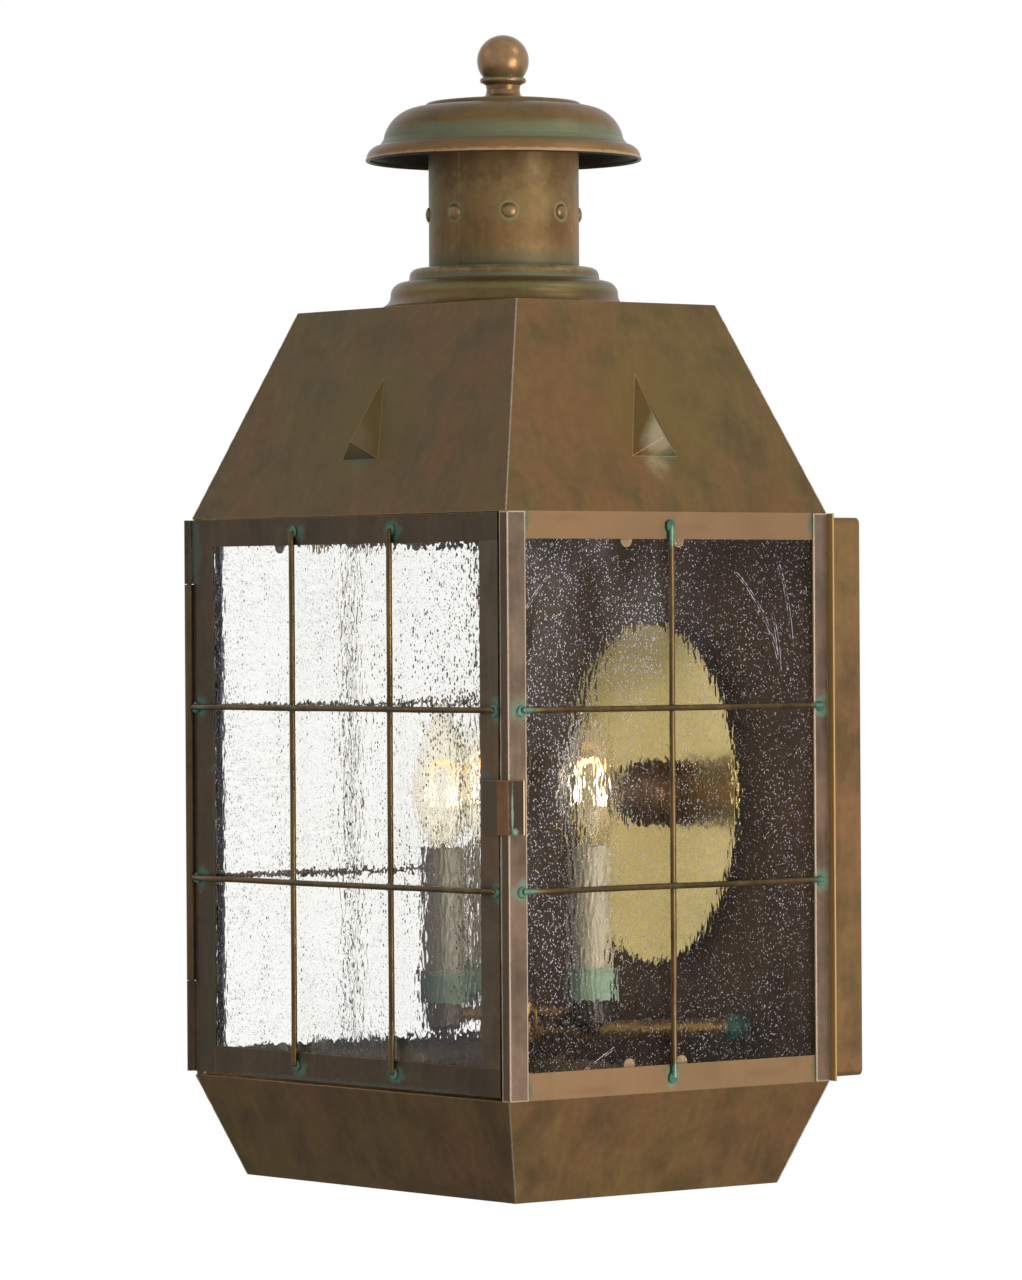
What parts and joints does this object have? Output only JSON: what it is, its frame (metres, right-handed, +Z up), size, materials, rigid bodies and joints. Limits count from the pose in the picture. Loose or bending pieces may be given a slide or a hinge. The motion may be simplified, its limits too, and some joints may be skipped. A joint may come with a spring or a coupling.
{
  "type": "wall lantern",
  "caption": "Aged brass wall lantern with a hinged glass door, vented hood, capped chimney and candle lamps in front of an oval reflector.",
  "frame": {"origin": "middle of the back at the wall, between the box screw holes of the mounting strap", "axes": "+X to the right seen from the front, +Y into the wall, +Z up"},
  "size_m": [0.2635, 0.2266, 0.5708],
  "materials": {
    "aged_brass": "aged",
    "door_brass": "aged",
    "dark_brass": "aged",
    "coppery_brass": "aged",
    "brass_wire": "aged",
    "green_brass": "verdigris",
    "polished_brass": "polished",
    "turned_brass": "satin",
    "zinc_steel": "zinc plated",
    "seedy_glass": "seeded",
    "bulb_glass": "clear",
    "bulb_screw": "nickel plated",
    "filament": "glowing",
    "candle_sleeve": "satin",
    "socket_plastic": "satin"
  },
  "bodies": {
    "lantern": {"back_pan": "dark_brass", "rear_wall": "dark_brass", "mounting_strap": "zinc_steel", "fixing_nipple": "zinc_steel", "fixing_knob": "dark_brass", "post_front_left": "aged_brass", "post_front_right": "aged_brass", "post_rear_left": "aged_brass", "post_rear_right": "aged_brass", "roof_front": "aged_brass", "roof_right": "aged_brass", "roof_rear": "aged_brass", "roof_left": "aged_brass", "roof_plate": "dark_brass", "skirt_front": "aged_brass", "skirt_right": "aged_brass", "skirt_rear": "aged_brass", "skirt_left": "aged_brass", "bottom_plate": "dark_brass", "chimney_ring": "aged_brass", "chimney": "dark_brass", "chimney_rivets": "dark_brass", "cap_bridge": "zinc_steel", "cap_rod": "zinc_steel", "cap_rod_nuts": "zinc_steel", "vent_cap": "coppery_brass", "finial": "coppery_brass", "glass_left": "seedy_glass", "glass_right": "seedy_glass", "side_glass_clips": "dark_brass", "window_bars_left": "brass_wire", "window_bars_right": "brass_wire", "reflector": "polished_brass", "bracket_arms": "turned_brass", "bracket_feet": "green_brass", "cluster_hub": "turned_brass", "candle_arms": "turned_brass", "candle_bases": "dark_brass", "candle_cup_left": "green_brass", "candle_cup_right": "green_brass", "candle_cup_front": "green_brass", "candle_sleeve_left": "candle_sleeve", "candle_sleeve_right": "candle_sleeve", "candle_sleeve_front": "candle_sleeve", "lamp_sockets": "socket_plastic", "bulb_left": "bulb_glass", "bulb_right": "bulb_glass", "bulb_front": "bulb_glass", "bulb_bases": "bulb_screw", "bulb_filaments": "filament", "hinge_leaf": "aged_brass", "hinge_pin": "zinc_steel"},
    "door": {"door_stile_hinge": "door_brass", "door_stile_latch": "door_brass", "door_rail_top": "door_brass", "door_rail_bottom": "door_brass", "door_glass": "seedy_glass", "door_glass_clips": "dark_brass", "door_bars": "brass_wire"},
    "latch": {"latch_clip": "aged_brass"}
  },
  "joints": [
    {"name": "door_swing", "type": "hinge", "parent": "lantern", "child": "door", "pos_m": [-0.1294, -0.2208, 0], "axis": [0, 0, -1], "range_deg": [0, 110]},
    {"name": "latch_flex", "type": "hinge", "parent": "door", "child": "latch", "pos_m": [0.1075, -0.2211, 0], "axis": [0, 0, -1], "range_deg": [0, 8], "stiffness_Nm_per_rad": 0.3}
  ]
}
